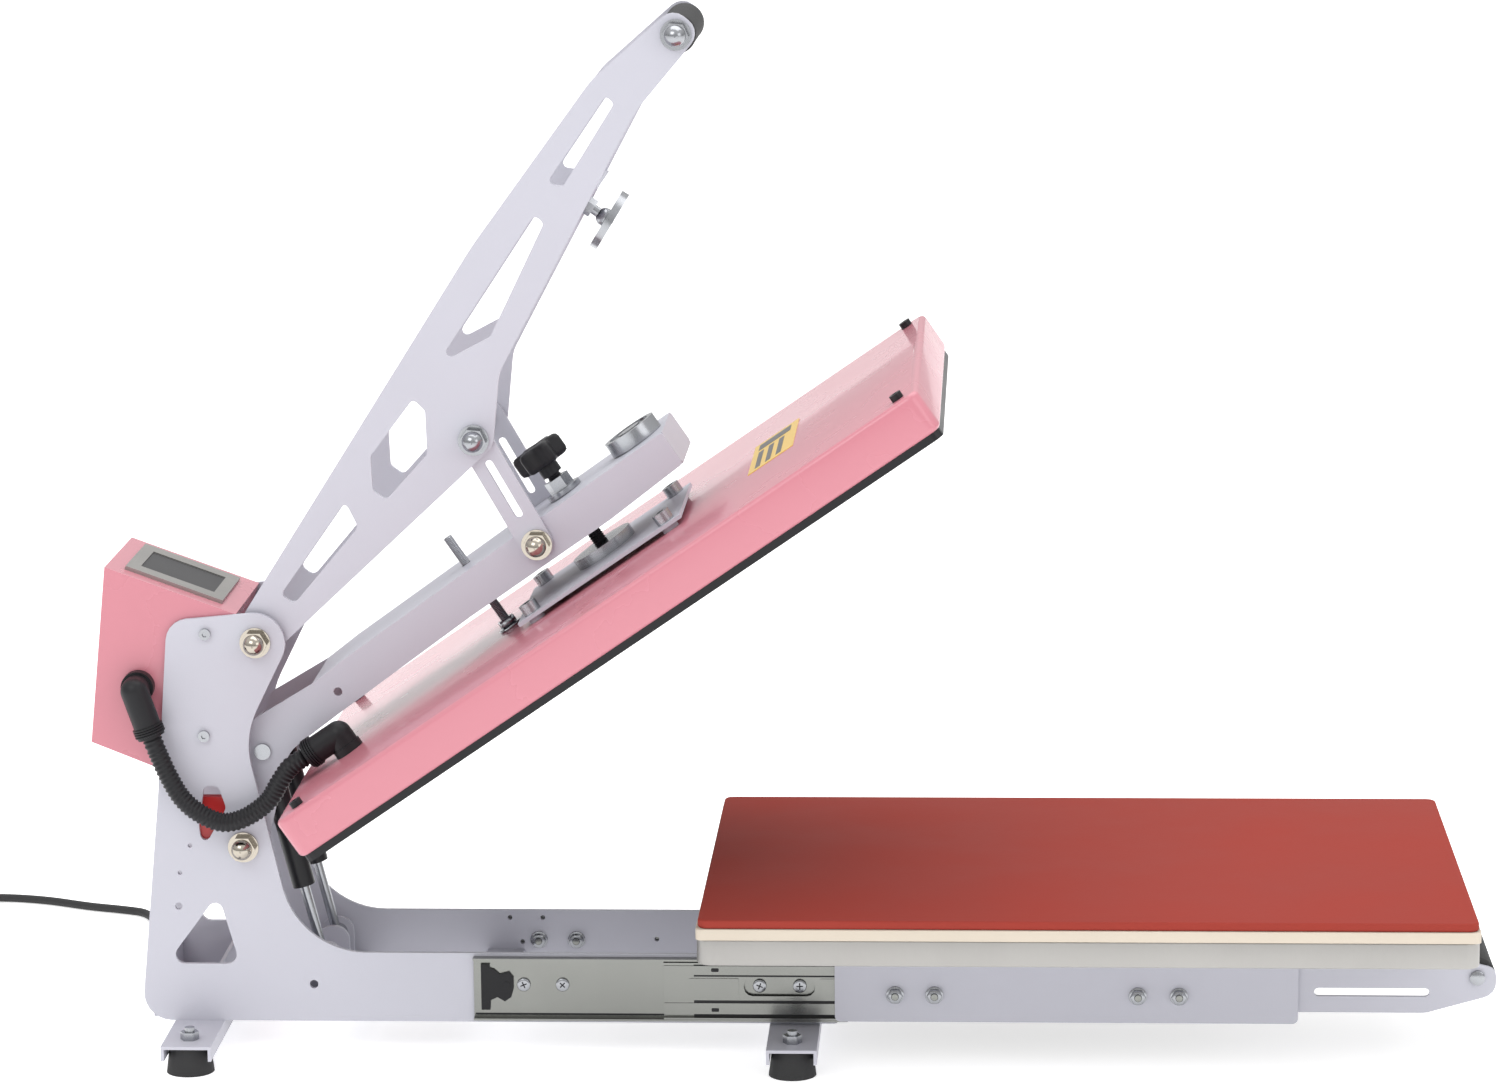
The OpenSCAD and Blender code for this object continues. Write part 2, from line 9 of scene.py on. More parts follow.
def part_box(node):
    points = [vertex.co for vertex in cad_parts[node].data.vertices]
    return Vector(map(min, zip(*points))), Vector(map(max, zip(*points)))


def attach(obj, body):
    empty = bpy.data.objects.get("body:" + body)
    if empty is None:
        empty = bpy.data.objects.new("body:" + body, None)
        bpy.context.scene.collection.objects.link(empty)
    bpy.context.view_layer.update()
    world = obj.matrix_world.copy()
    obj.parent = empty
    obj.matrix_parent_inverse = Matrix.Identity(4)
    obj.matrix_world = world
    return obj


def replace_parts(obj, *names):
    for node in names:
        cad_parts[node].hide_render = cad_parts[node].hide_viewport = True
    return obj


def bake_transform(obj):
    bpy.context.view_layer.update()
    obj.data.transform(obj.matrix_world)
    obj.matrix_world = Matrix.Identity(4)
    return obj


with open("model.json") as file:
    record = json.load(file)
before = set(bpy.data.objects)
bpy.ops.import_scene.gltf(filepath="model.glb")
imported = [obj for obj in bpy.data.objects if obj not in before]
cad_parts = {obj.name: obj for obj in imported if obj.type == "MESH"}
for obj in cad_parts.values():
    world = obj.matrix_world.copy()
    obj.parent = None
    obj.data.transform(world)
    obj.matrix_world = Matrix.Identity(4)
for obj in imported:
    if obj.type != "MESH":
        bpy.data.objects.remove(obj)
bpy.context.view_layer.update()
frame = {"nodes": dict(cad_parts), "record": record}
NODES = frame["nodes"]

# Driving sizes, in metres, the same as the CAD model's
ARM_PIVOT = Vector((-0.438, 0, 0.170))
ARM_OPEN = math.radians(34.35)
HANDLE_PIVOT = Vector((-0.424, 0, 0.337))
HANDLE_OPEN = math.radians(54.7)
CORD_R = 0.00365
CONDUIT_D = 0.0158
CONDUIT_Y = -0.084
CONDUIT_U, CONDUIT_RISE = 0.088, 0.034
COVER_LOW = (0.0677, -0.205, -0.0165)
COVER_HIGH = (0.667, 0.205, 0.0179)
SPINDLE_U = 0.368
STUD_U = 0.268
HAND_GRIP_U = 0.5874
FRONT_GRIP = (0.5435, 0, 0.0706)
SIDES = (-1, "left"), (1, "right")

ARM = Matrix.Translation(ARM_PIVOT) @ Matrix.Rotation(-ARM_OPEN, 4, "Y")
HANDLE = Matrix.Translation(HANDLE_PIVOT) @ Matrix.Rotation(-HANDLE_OPEN, 4, "Y")


# Camera: place in metres, yaw, pitch and roll in degrees, lens in millimetres
def camera(place, yaw, pitch, roll, lens):
    y, p, r = (math.radians(a) for a in (yaw, pitch, roll))
    ahead = Vector((-math.sin(y) * math.cos(p), math.cos(y) * math.cos(p), -math.sin(p)))
    right = Vector((math.cos(y), math.sin(y), 0))
    down = ahead.cross(right)
    right_r = right * math.cos(r) + down * math.sin(r)
    up_r = right * math.sin(r) - down * math.cos(r)
    data = bpy.data.cameras.new("camera")
    data.lens = lens
    data.sensor_width = 36
    data.clip_end = 50
    cam = bpy.data.objects.new("camera", data)
    bpy.context.collection.objects.link(cam)
    basis = Matrix((right_r, up_r, -ahead)).transposed().to_4x4()
    cam.matrix_world = Matrix.Translation(place) @ basis
    bpy.context.scene.camera = cam


camera((0.16416, -3.86142, 1.14926), 2.9328, 10.8817, 0.5129, 118.08)


# Materials: every surface varies in roughness and colour and has a fine bump
def ramp(nodes, links, source, low, high):
    out = nodes.new("ShaderNodeMapRange")
    out.inputs["To Min"].default_value = low
    out.inputs["To Max"].default_value = high
    links.new(source, out.inputs["Value"])
    return out.outputs["Result"]


def material(name, color, rough, metal=0.0, grain=400.0, bump=0.1, vary=0.06, coat=0.0,
             stretch=(1, 1, 1), specular=0.5):
    mat = bpy.data.materials.new(name)
    mat.use_nodes = True
    nodes, links = mat.node_tree.nodes, mat.node_tree.links
    shader = nodes["Principled BSDF"]
    shader.inputs["Metallic"].default_value = metal
    shader.inputs["Coat Weight"].default_value = coat
    shader.inputs["Coat Roughness"].default_value = 0.06
    shader.inputs["Specular IOR Level"].default_value = specular
    place = nodes.new("ShaderNodeTexCoord")
    scale = nodes.new("ShaderNodeMapping")
    scale.inputs["Scale"].default_value = stretch
    links.new(place.outputs["Object"], scale.inputs["Vector"])
    fine = nodes.new("ShaderNodeTexNoise")
    fine.inputs["Scale"].default_value = grain
    fine.inputs["Detail"].default_value = 3
    links.new(scale.outputs["Vector"], fine.inputs["Vector"])
    broad = nodes.new("ShaderNodeTexNoise")
    broad.inputs["Scale"].default_value = 9
    broad.inputs["Detail"].default_value = 5
    links.new(place.outputs["Object"], broad.inputs["Vector"])
    links.new(ramp(nodes, links, broad.outputs["Fac"], rough * 0.8, min(1, rough * 1.25)),
              shader.inputs["Roughness"])
    mix = nodes.new("ShaderNodeMix")
    mix.data_type = "RGBA"
    dark = [c * (1 - vary) for c in color]
    light = [min(1, c * (1 + vary * 0.6)) for c in color]
    mix.inputs["A"].default_value = (*dark, 1)
    mix.inputs["B"].default_value = (*light, 1)
    links.new(broad.outputs["Fac"], mix.inputs["Factor"])
    links.new(mix.outputs["Result"], shader.inputs["Base Color"])
    if bump:
        relief = nodes.new("ShaderNodeBump")
        relief.inputs["Strength"].default_value = bump
        relief.inputs["Distance"].default_value = 0.0004
        links.new(fine.outputs["Fac"], relief.inputs["Height"])
        links.new(relief.outputs["Normal"], shader.inputs["Normal"])
    return mat


M = {
    "powder_coat": material("powder_coat", (0.50, 0.50, 0.56), 0.42, grain=900, bump=0.18,
                            vary=0.04),
    "pink_enamel": material("pink_enamel", (0.56, 0.20, 0.245), 0.26, grain=150, bump=0.012,
                            vary=0.03, coat=0.25, specular=0.5),
    "bright_steel": material("bright_steel", (0.36, 0.37, 0.39), 0.24, metal=1, grain=700,
                             vary=0.12, bump=0.08),
    "zinc": material("zinc", (0.25, 0.255, 0.24), 0.22, metal=1, grain=500, vary=0.2,
                     bump=0.08, stretch=(0.1, 1, 1)),
    "nickel": material("nickel", (0.45, 0.41, 0.35), 0.14, metal=1, grain=300, vary=0.08,
                       bump=0.03),
    "aluminium": material("aluminium", (0.39, 0.38, 0.365), 0.42, metal=1, grain=320,
                          vary=0.22, bump=0.45, stretch=(1, 1, 0.08)),
    "black_plastic": material("black_plastic", (0.014, 0.014, 0.016), 0.4, grain=900,
                              bump=0.2, vary=0.2, specular=0.25),
    "black_steel": material("black_steel", (0.014, 0.014, 0.016), 0.3, grain=500, bump=0.06,
                            vary=0.2, specular=0.25),
    "black_rubber": material("black_rubber", (0.02, 0.02, 0.021), 0.7, grain=1200, bump=0.5,
                             vary=0.25),
    "silicone": material("silicone", (0.31, 0.042, 0.030), 0.72, grain=260, bump=0.25,
                         vary=0.1, specular=0.15),
    "board": material("board", (0.60, 0.53, 0.44), 0.66, grain=220, bump=0.3, vary=0.1,
                      stretch=(0.1, 1, 1)),
    "screen": material("screen", (0.045, 0.045, 0.047), 0.45, grain=200, bump=0.01,
                       vary=0.1, specular=0.3),
    "circuit": material("circuit", (0.03, 0.2, 0.08), 0.5, grain=400, vary=0.2),
    "red_plastic": material("red_plastic", (0.42, 0.02, 0.02), 0.3, grain=500, bump=0.05),
    "label": material("label", (0.78, 0.50, 0.06), 0.35, grain=500, bump=0.03, coat=0.3),
    "ink": material("ink", (0.12, 0.12, 0.12), 0.5, grain=500, bump=0.02),
}
SLOT_OF = {r["node"]: r["material_slot"] for r in frame["record"]["subparts"]}
for node_name, obj in NODES.items():
    finish_name = "zinc" if node_name.startswith("slides_") else SLOT_OF[node_name]
    for material_slot in obj.material_slots:
        material_slot.material = M[finish_name]


# Piece makers
def piece(name, data, body, slot, finish=None):
    obj = bpy.data.objects.new(name, data)
    bpy.context.collection.objects.link(obj)
    data.materials.append(M[finish or slot])
    if body:
        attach(obj, body)
    return obj


def mesh_piece(name, verts, faces, body, slot, finish=None, smooth=True):
    data = bpy.data.meshes.new(name)
    data.from_pydata([tuple(v) for v in verts], [], faces)
    data.validate()
    for face in data.polygons:
        face.use_smooth = smooth
    return piece(name, data, body, slot, finish)


def slab(name, low, high, corner, edge, place, body, slot, finish=None):
    """A plate with round upright corners and softened flat edges, put where place says."""
    build = bmesh.new()
    bmesh.ops.create_cube(build, size=1)
    size = Vector(high) - Vector(low)
    centre = (Vector(high) + Vector(low)) / 2
    for v in build.verts:
        v.co = Vector(v.co[i] * size[i] + centre[i] for i in range(3))
    upright = [e for e in build.edges if abs(e.verts[0].co.z - e.verts[1].co.z) > 1e-6]
    if corner:
        bmesh.ops.bevel(build, geom=upright, offset=corner, segments=8, profile=0.5,
                        affect="EDGES")
    flat = [e for e in build.edges if abs(e.verts[0].co.z - e.verts[1].co.z) < 1e-6
            and abs(abs(e.verts[0].co.z - centre.z) - size.z / 2) < 1e-6
            and len({round(f.normal.z, 3) for f in e.link_faces}) > 1]
    if edge:
        bmesh.ops.bevel(build, geom=flat, offset=edge, segments=4, profile=0.5,
                        affect="EDGES")
    bmesh.ops.transform(build, matrix=place, verts=build.verts)
    data = bpy.data.meshes.new(name)
    build.to_mesh(data)
    build.free()
    for face in data.polygons:
        face.use_smooth = True
    obj = piece(name, data, body, slot, finish)
    obj.data.set_sharp_from_angle(angle=math.radians(40))
    return obj


def lathe(name, profile, place, body, slot, finish=None, sides=40):
    """A round body at each place: profile is (radius, height) pairs along its Z axis."""
    verts, faces = [], []
    for spot in place if isinstance(place, list) else [place]:
        first = len(verts)
        for r, h in profile:
            for k in range(sides):
                a = 2 * math.pi * k / sides
                verts.append(spot @ Vector((r * math.cos(a), r * math.sin(a), h)))
        for i in range(len(profile) - 1):
            for k in range(sides):
                a, b = first + i * sides + k, first + i * sides + (k + 1) % sides
                faces.append((a, b, b + sides, a + sides))
        faces.append(tuple(range(first + sides - 1, first - 1, -1)))
        faces.append(tuple(range(len(verts) - sides, len(verts))))
    obj = mesh_piece(name, verts, faces, body, slot, finish)
    obj.data.set_sharp_from_angle(angle=math.radians(50))
    return obj


def smooth_path(points, step):
    """A rounded curve through the points, sampled about every step."""
    out = []
    last = len(points) - 1
    for i in range(last):
        p0, p1, p2, p3 = (points[max(0, min(last, i + j))] for j in (-1, 0, 1, 2))
        n = max(1, round((p2 - p1).length / step))
        for k in range(n):
            t = k / n
            out.append(0.5 * (2 * p1 + (p2 - p0) * t + (2 * p0 - 5 * p1 + 4 * p2 - p3) * t**2
                              + (3 * p1 - p0 - 3 * p2 + p3) * t**3))
    out.append(points[-1].copy())
    return out


def tube(name, path, radii, body, slot, sides=16):
    """A tube along a path, with one radius for each of its points."""
    verts, faces = [], []
    across = Vector((0, 1, 0))
    for i, p in enumerate(path):
        ahead = (path[min(i + 1, len(path) - 1)] - path[max(i - 1, 0)]).normalized()
        across = (across - across.dot(ahead) * ahead).normalized()
        other = ahead.cross(across)
        for k in range(sides):
            a = 2 * math.pi * k / sides
            verts.append(p + radii[i] * (math.cos(a) * across + math.sin(a) * other))
    for i in range(len(path) - 1):
        for k in range(sides):
            a, b = i * sides + k, i * sides + (k + 1) % sides
            faces.append((a, b, b + sides, a + sides))
    faces.append(tuple(range(sides - 1, -1, -1)))
    faces.append(tuple(range((len(path) - 1) * sides, len(path) * sides)))
    return mesh_piece(name, verts, faces, body, slot)


# Mains cord: listed route, then the coil's turns inwards, then out to the plug
CORD_ROUTE = [Vector(p) / 1000 for p in (
    (-520, 84, 290), (-520, 110, 289), (-521, 128, 282), (-523, 139, 266), (-524, 143, 240),
    (-525, 145, 200), (-526, 147, 160), (-527, 149, 120), (-528, 152, 80), (-530, 157, 50),
    (-533, 168, 24), (-538, 184, 9), (-545, 206, 4), (-553, 236, 4), (-566, 275, 4),
    (-578, 310, 4), (-592, 338, 4), (-612, 349, 4), (-646, 361, 4), (-685, 379, 4),
    (-720, 388, 4), (-760, 389, 4), (-798, 388.8, 4))]
COIL_AT = Vector((-0.800, 0.338, 0.004))
COIL_TURNS = 4
TURN_GAP = 2 * CORD_R
INNER_R = 0.0254 + CORD_R
OUTER_R = INNER_R + (COIL_TURNS - 1) * TURN_GAP
STEPS = 24
CLIMB_TURNS = 0.35


def coil_path():
    out = []
    for k in range(1, STEPS * COIL_TURNS + 1):
        t = k / STEPS
        r = OUTER_R - (OUTER_R - INNER_R) * t / COIL_TURNS
        a = math.pi / 2 + 2 * math.pi * t
        rise = max(0, t - (COIL_TURNS - CLIMB_TURNS)) / CLIMB_TURNS
        z = TURN_GAP * (3 * rise**2 - 2 * rise**3)
        out.append(COIL_AT + Vector((r * math.cos(a), r * math.sin(a), z)))
    return out


coil = coil_path()
tail = [coil[-1] + Vector((-x, 0, 0)) for x in (0.012, 0.024, 0.036, 0.050)]
cord_path = CORD_ROUTE + coil + tail


def curve_piece(name, path, radius, body, slot):
    data = bpy.data.curves.new(name, "CURVE")
    data.dimensions = "3D"
    data.bevel_depth = radius
    data.bevel_resolution = 3
    data.resolution_u = 3
    data.use_fill_caps = True
    line = data.splines.new("POLY")
    line.points.add(len(path) - 1)
    for point, p in zip(line.points, path):
        point.co = (*p, 1)
    line.use_smooth = True
    return piece(name, data, body, slot)


fine_route = smooth_path(CORD_ROUTE, 0.008)
cord_line = fine_route + smooth_path([CORD_ROUTE[-1]] + coil + tail, 0.004)[1:]
cord = curve_piece("mains_lead", cord_line, CORD_R, "base", "black_rubber")
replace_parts(cord, "mains_cord", "cord_coil")

# Conduit: ribs along its real route, bending between the base and the arm
mouth = ARM @ Vector((CONDUIT_U, CONDUIT_Y, CONDUIT_RISE))
CONDUIT_ROUTE = [Vector((x, -84, z)) / 1000 for x, z in (
    (-506.5, 263.9), (-502.8, 253.5), (-494.2, 232.7), (-483.6, 214), (-469.6, 201.5),
    (-451.4, 194.2), (-433, 198.5), (-415, 211.5), (-405.5, 226.5), (-396, 240))]
RIB_STEP = 0.0009
RIB_DEPTH = 0.0009
conduit_path = smooth_path(CONDUIT_ROUTE + [mouth], RIB_STEP)
rib_radii = [CONDUIT_D / 2 - RIB_DEPTH * (i % 4 in (2, 3)) for i in range(len(conduit_path))]
conduit = tube("ribbed_conduit", conduit_path, rib_radii, None, "black_plastic", 20)
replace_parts(conduit, "conduit")

# Bed: pad, board and plate with their softened edges
pad = slab("pad", *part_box("silicone_pad"), 0.008, 0.0018, Matrix(), "drawer", "silicone")
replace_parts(pad, "silicone_pad")
board = slab("board", *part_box("bed_board"), 0.005, 0.0006, Matrix(), "drawer", "board")
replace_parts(board, "bed_board")
plate = slab("bed", *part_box("bed_plate"), 0.012, 0.0012, Matrix(), "drawer", "aluminium")
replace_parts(plate, "bed_plate")

# Heater cover: a folded tray with rounded top edges
cover = slab("cover", COVER_LOW, COVER_HIGH, 0.010, 0.004, ARM, "heater", "pink_enamel")
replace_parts(cover, "heater_cover")

# Foam grips with slightly domed ends
TO_Y = Matrix.Rotation(-math.pi / 2, 4, "X")


def foam_grip(name, place, r, half, body, node):
    profile = [(r * 0.45, -half), (r * 0.86, -half), (r * 0.97, -half + 0.0015),
               (r, -half + 0.004), (r * 0.985, -half * 0.5), (r * 0.985, half * 0.5),
               (r, half - 0.004), (r * 0.97, half - 0.0015), (r * 0.86, half),
               (r * 0.45, half)]
    obj = lathe(name, profile, place @ TO_Y, body, "black_rubber")
    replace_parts(obj, node)
    return obj


foam_grip("hand_grip", HANDLE @ Matrix.Translation((HAND_GRIP_U, 0, 0)), 0.0155, 0.056,
          "handle", "handle_grip")
foam_grip("front_grip", Matrix.Translation(FRONT_GRIP), 0.015, 0.078, "drawer",
          "drawer_grip")
for side, word in SIDES:
    lathe(f"front_grip_screw_{word}",
          [(0.0045, 0), (0.006, 0), (0.006, 0.0022), (0.0045, 0.003)],
          Matrix.Translation((FRONT_GRIP[0], side * 0.081, FRONT_GRIP[2]))
          @ Matrix.Rotation(-side * math.pi / 2, 4, "X"), "drawer", "bright_steel", sides=24)


# Screw threads: stacked ridges along a spindle
def threaded(name, place, r, depth, pitch, low, high, body, slot, finish=None):
    profile = [(r * 0.8, low)]
    h = low
    while h + pitch < high:
        profile += [(r - depth, h + pitch * 0.1), (r, h + pitch * 0.5),
                    (r - depth, h + pitch * 0.9)]
        h += pitch
    profile.append((r * 0.8, high))
    return lathe(name, profile, place, body, slot, finish, sides=28)


SPINDLE_AT = ARM @ Matrix.Translation((SPINDLE_U, 0, 0))
spindle = threaded("spindle_thread", SPINDLE_AT, 0.006, 0.0007, 0.002, 0.0255, 0.1205,
                   "knob", "bright_steel", "black_steel")
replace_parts(spindle, "pressure_spindle")
STUD_AT = ARM @ Matrix.Translation((STUD_U, 0, COVER_HIGH[2]))
stud = threaded("stud_thread", STUD_AT, 0.004, 0.0005, 0.0013, 0, 0.089, "heater",
                "bright_steel")
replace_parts(stud, "guide_stud")
lathe("stud_washer", [(0.004, 0), (0.0098, 0), (0.01, 0.0003), (0.01, 0.0017),
                      (0.0098, 0.002), (0.004, 0.002)], STUD_AT, "heater", "bright_steel")
lathe("stud_nut", [(0.004, 0.002), (0.0068, 0.002), (0.0075, 0.0028), (0.0075, 0.0077),
                   (0.0068, 0.0085), (0.004, 0.0085)], STUD_AT, "heater", "bright_steel",
      sides=6)

# Pressure knob: a six-lobed star with rounded edges on a round hub
KNOB_R = 0.022
KNOB_RINGS = ((0.3, 0.1100), (0.84, 0.1100), (0.96, 0.1112), (1, 0.1140), (1, 0.1235),
              (0.96, 0.1262), (0.86, 0.1276), (0.5, 0.1280), (0.3, 0.1272))
KNOB_SIDES = 96
KNOB_BORE = 0.006
BORE_SCALE = 0.4
LOBES = 6
LOBE_DEPTH = 0.14


def star_knob():
    verts, faces = [], []
    for scale, height in KNOB_RINGS:
        for k in range(KNOB_SIDES):
            a = 2 * math.pi * k / KNOB_SIDES
            lobe = 1 - LOBE_DEPTH + LOBE_DEPTH * math.cos(LOBES * a)
            r = KNOB_R * scale * lobe if scale > BORE_SCALE else KNOB_BORE
            verts.append(ARM @ Vector((SPINDLE_U + r * math.cos(a), r * math.sin(a), height)))
    for i in range(len(KNOB_RINGS) - 1):
        for k in range(KNOB_SIDES):
            a, b = i * KNOB_SIDES + k, i * KNOB_SIDES + (k + 1) % KNOB_SIDES
            faces.append((a, b, b + KNOB_SIDES, a + KNOB_SIDES))
    faces.append(tuple(range(KNOB_SIDES - 1, -1, -1)))
    faces.append(tuple(range(len(verts) - KNOB_SIDES, len(verts))))
    return mesh_piece("star_knob", verts, faces, "knob", "black_plastic")


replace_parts(star_knob(), "pressure_knob")
lathe("knob_hub", [(0.0062, 0.1010), (0.0085, 0.1010), (0.0085, 0.1115), (0.0062, 0.1115)],
      SPINDLE_AT, "knob", "black_plastic")


# Ribbed collars where the conduit enters its two elbows
def collar(name, place, body):
    low, high, pitch, ribs = 0.0108, 0.0124, 0.002, 4
    profile = []
    for i in range(ribs):
        h = pitch * i
        profile += [(low, h), (high, h + 0.0004), (high, h + 0.0014), (low, h + 0.0018)]
    lathe(name, profile, place, body, "black_plastic")


elbow_at, mouth_at = Vector((-0.519, CONDUIT_Y, 0.3008)), Vector((-0.5065, CONDUIT_Y, 0.2639))
aim = (mouth_at - elbow_at).to_track_quat("Z", "Y").to_matrix().to_4x4()
collar("box_elbow_collar", Matrix.Translation(elbow_at.lerp(mouth_at, 0.75)) @ aim, "base")
collar("platen_elbow_collar", ARM @ Matrix.Translation((0.0995, CONDUIT_Y, CONDUIT_RISE))
       @ Matrix.Rotation(-math.pi / 2, 4, "Y"), "heater")

# Drawer slides: screws with cross recesses as painted shade, rails and ball tracks with painted
# shade, a groove as a painted shade strip, rear catches, nuts
SLIDE_FACE = 0.0695
SCREW_FACE = 0.0715
CATCH_FACE = 0.0716
RECESS_HALF = 0.0027, 0.0005
RECESS_TURN = 0.4
MIDDLE_FACE = 0.0735
MIDDLE_X = -0.102, 0.198
SCREW_X = -0.2148, -0.1836, -0.0255, 0.0066
SCREW_Z = 0.0578


def outward(side, x, y, z):
    """A place on a side face, its Z axis pointing out of that side."""
    turn = Matrix.Rotation(math.radians(-90 * side), 4, "X")
    return Matrix.Translation((x, side * y, z)) @ turn


def side_slab(name, side, x, y, z, corner, body, slot, finish=None):
    """A box on a side face, with x, y and z each as (low, high) and y measured outwards."""
    low_y, high_y = sorted((side * y[0], side * y[1]))
    place = Matrix.Rotation(math.pi / 2, 4, "X")
    return slab(name, (x[0], z[0], -high_y), (x[1], z[1], -low_y), corner, 0, place, body,
                slot, finish)


for side, word in SIDES:
    heads = [outward(side, x, SCREW_FACE, SCREW_Z) for x in SCREW_X]
    lathe(f"slide_screws_{word}", [(0.0012, -0.0019), (0.0054, -0.0019), (0.0054, -0.0003),
                                   (0.0050, 0.0001), (0.0036, 0.0004), (0.0012, 0.0004)],
          heads, "base", "bright_steel", sides=28)
    # Black crosses laid on the screw heads are painted shade standing in for their cross recesses
    for i, spot in enumerate(heads):
        for j, (half_x, half_y) in enumerate((RECESS_HALF, RECESS_HALF[::-1])):
            slab(f"screw_recess_{word}_{i}{j}", (-half_x, -half_y, 0.0003),
                 (half_x, half_y, 0.00044 + 0.00002 * j), 0, 0,
                 spot @ Matrix.Rotation(RECESS_TURN * (i + 1), 4, "Z"), "base", "bright_steel",
                 "black_steel")
    for part, (z0, z1) in enumerate(((0.0676, 0.0750), (0.0352, 0.0442))):
        side_slab(f"slide_rail_{word}_{part}", side, MIDDLE_X, (MIDDLE_FACE, 0.0743),
                  (z0, z1), 0.0005, "slide_middle", "bright_steel", "zinc")
    # Thin black strips along the rails' edges are painted shade in the ball tracks between the
    # members
    for part, (z0, z1) in enumerate(((0.0660, 0.0676), (0.0442, 0.0464), (0.0330, 0.0352),
                                     (0.0750, 0.0770))):
        side_slab(f"track_painted_shade_{word}_{part}", side, (-0.078, 0.196),
                  (MIDDLE_FACE, MIDDLE_FACE + 0.0001), (z0, z1), 0, "slide_middle",
                  "bright_steel", "black_steel")
    for part, (z0, z1) in enumerate(((0.0702, 0.0732), (0.0372, 0.0402))):
        side_slab(f"cage_end_{word}_{part}", side, (-0.064, -0.058), (0.0743, 0.0744),
                  (z0, z1), 0.0008, "slide_middle", "bright_steel", "black_plastic")
    for part, (x0, x1) in enumerate(((-0.082, -0.042), (0.023, 0.196))):
        side_slab(f"slide_strip_{word}_{part}", side, (x0, x1), (MIDDLE_FACE, 0.0742),
                  (0.0478, 0.0646), 0.001, "slide_middle", "bright_steel", "zinc")
    # A thin black strip on the outer member is painted shade standing in for its groove
    side_slab(f"groove_painted_shade_{word}", side, (-0.254, 0.044), (SLIDE_FACE, 0.0696),
              (0.0325, 0.0340), 0, "base", "bright_steel", "black_steel")

# Rear catches: an upright bar with a hook that the middle member's end snaps into
CATCH = ((-0.2490, 0.0370), (-0.2420, 0.0370), (-0.2415, 0.0450), (-0.2360, 0.0475),
         (-0.2300, 0.0440), (-0.2250, 0.0475), (-0.2230, 0.0545), (-0.2230, 0.0640),
         (-0.2265, 0.0685), (-0.2340, 0.0665), (-0.2385, 0.0705), (-0.2420, 0.0715),
         (-0.2420, 0.0750), (-0.2490, 0.0750))


def catches():
    verts, faces = [], []
    n = len(CATCH)
    for side, _ in SIDES:
        first = len(verts)
        verts += [(x, side * y, z) for y in (SLIDE_FACE, CATCH_FACE) for x, z in CATCH]
        rim = [tuple(first + j for j in (i, (i + 1) % n, n + (i + 1) % n, n + i))
               for i in range(n)]
        ends = [tuple(range(first + n - 1, first - 1, -1)), tuple(range(first + n, first + 2 * n))]
        faces += [f if side > 0 else f[::-1] for f in rim + ends]
    return mesh_piece("slide_catches", verts, faces, "base", "black_plastic", smooth=False)


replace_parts(catches(), "slide_stops")
lathe("catch_bosses", [(0.0008, -0.0002), (0.0030, -0.0002), (0.0030, 0.0002),
                       (0.0024, 0.0003), (0.0008, 0.0003)],
      [outward(side, -0.2285, CATCH_FACE, 0.0575) for side, _ in SIDES], "base",
      "black_plastic", sides=24)

# Nuts with their screw ends, on the drawer's plates and inside the side plates
NUT = [(0.0020, 0), (0.0058, 0), (0.0062, 0.0004), (0.0062, 0.0036), (0.0056, 0.0042),
       (0.0020, 0.0042)]
WASHER = [(0.0020, 0), (0.0070, 0), (0.0072, 0.0002), (0.0072, 0.0008), (0.0070, 0.0010),
          (0.0020, 0.0010)]
STEM = [(0.0010, 0), (0.0031, 0), (0.0031, 0.0060), (0.0026, 0.0068), (0.0010, 0.0070)]
DRAWER_X = 0.083, 0.1143, 0.2757, 0.3083
DRAWER_OUT = 0.084
SIDE_IN = 0.064
nut_places = {
    "drawer": [outward(s, x, DRAWER_OUT, 0.0547) for s, _ in SIDES for x in DRAWER_X],
    "base": [outward(s, x, -SIDE_IN, SCREW_Z) for s in (1, -1) for x in SCREW_X[:2]],
}
for body, places in nut_places.items():
    lifted = [spot @ Matrix.Translation((0, 0, 0.0010)) for spot in places]
    lathe(f"{body}_nuts", NUT, lifted, body, "bright_steel", sides=6)
    lathe(f"{body}_washers", WASHER, places, body, "bright_steel", sides=32)
    lathe(f"{body}_screw_ends", STEM, places, body, "bright_steel", "zinc", sides=20)

# Rating label: plain blank with grey bars
for row in range(3):
    slab(f"label_bar_{row}", (0.510 + 0.010 * row, -0.045, 0.0183),
         (0.515 + 0.010 * row, 0.030, 0.01845), 0, 0, ARM, "heater", "label", "ink")
slab("label_block", (0.509, 0.040, 0.0183), (0.540, 0.066, 0.01845), 0, 0, ARM, "heater",
     "label", "ink")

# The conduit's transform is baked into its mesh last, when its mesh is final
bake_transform(conduit)


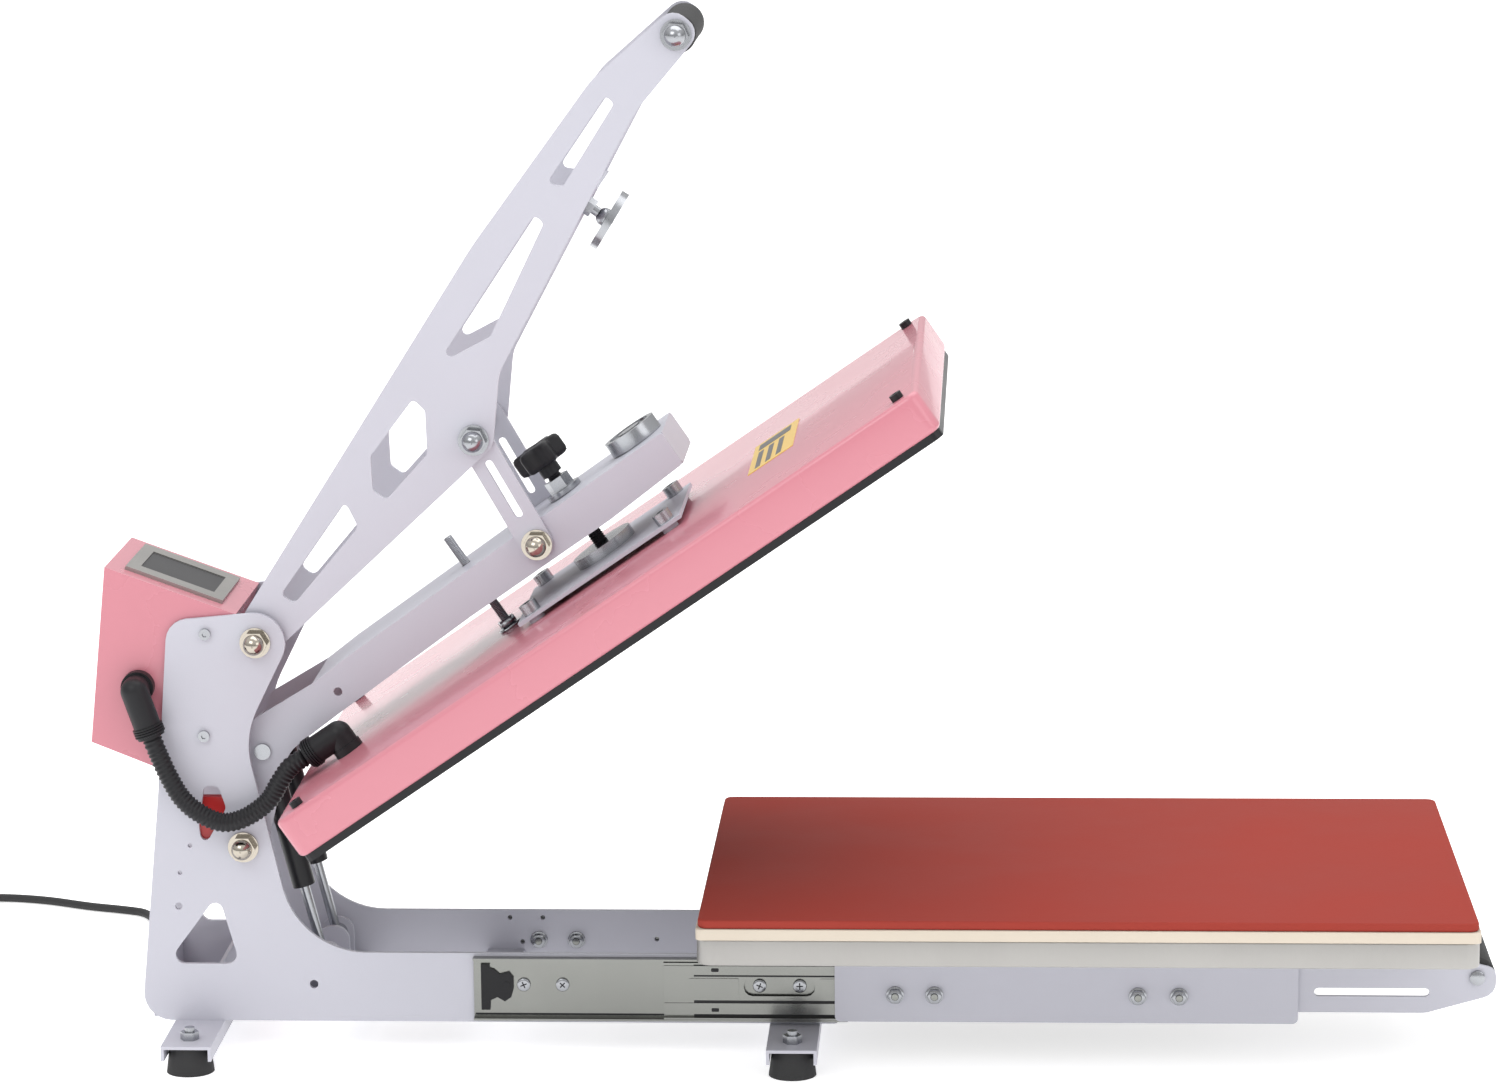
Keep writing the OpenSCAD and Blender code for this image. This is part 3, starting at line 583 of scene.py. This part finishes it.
# Stage: pale floor and soft studio light
def stage_floor():
    data = bpy.data.meshes.new("floor")
    s = 30
    data.from_pydata([(-s, -s, 0), (s, -s, 0), (s, s, 0), (-s, s, 0)], [], [(0, 1, 2, 3)])
    obj = bpy.data.objects.new("floor", data)
    bpy.context.collection.objects.link(obj)
    floor = material("floor", (0.86, 0.86, 0.86), 0.6, grain=60, bump=0.02, vary=0.01)
    shader = floor.node_tree.nodes["Principled BSDF"]
    shader.inputs["Emission Color"].default_value = (1, 1, 1, 1)
    shader.inputs["Emission Strength"].default_value = 0.6
    data.materials.append(floor)


def area_light(name, place, target, size, power):
    data = bpy.data.lights.new(name, "AREA")
    data.shape = "RECTANGLE"
    data.size, data.size_y = size
    data.energy = power
    obj = bpy.data.objects.new(name, data)
    bpy.context.collection.objects.link(obj)
    obj.location = place
    aim = Vector(target) - Vector(place)
    obj.rotation_euler = aim.to_track_quat("-Z", "Y").to_euler()


def world_light(horizon, zenith):
    """A soft studio, darker at eye level so that metal has something to reflect."""
    world = bpy.data.worlds.new("studio")
    world.use_nodes = True
    nodes, links = world.node_tree.nodes, world.node_tree.links
    place = nodes.new("ShaderNodeTexCoord")
    parts = nodes.new("ShaderNodeSeparateXYZ")
    level = nodes.new("ShaderNodeMapRange")
    level.inputs["From Max"].default_value = 0.6
    level.inputs["To Min"].default_value = horizon
    level.inputs["To Max"].default_value = zenith
    links.new(place.outputs["Generated"], parts.inputs["Vector"])
    links.new(parts.outputs["Z"], level.inputs["Value"])
    back = nodes["Background"]
    back.inputs["Color"].default_value = (1, 1, 1, 1)
    links.new(level.outputs["Result"], back.inputs["Strength"])
    bpy.context.scene.world = world


# The plain view transform keeps the floor white and the blacks deep
bpy.context.scene.view_settings.view_transform = "Standard"
stage_floor()
world_light(0.5, 1.0)
area_light("key", (-1.6, -2.6, 2.8), (0, 0, 0.3), (2.2, 1.6), 30)
area_light("fill", (2.8, -2.2, 1.8), (0, 0, 0.3), (2.0, 1.6), 16)
area_light("top", (0.2, 0.6, 3.2), (0, 0, 0.2), (3.4, 2.6), 52)
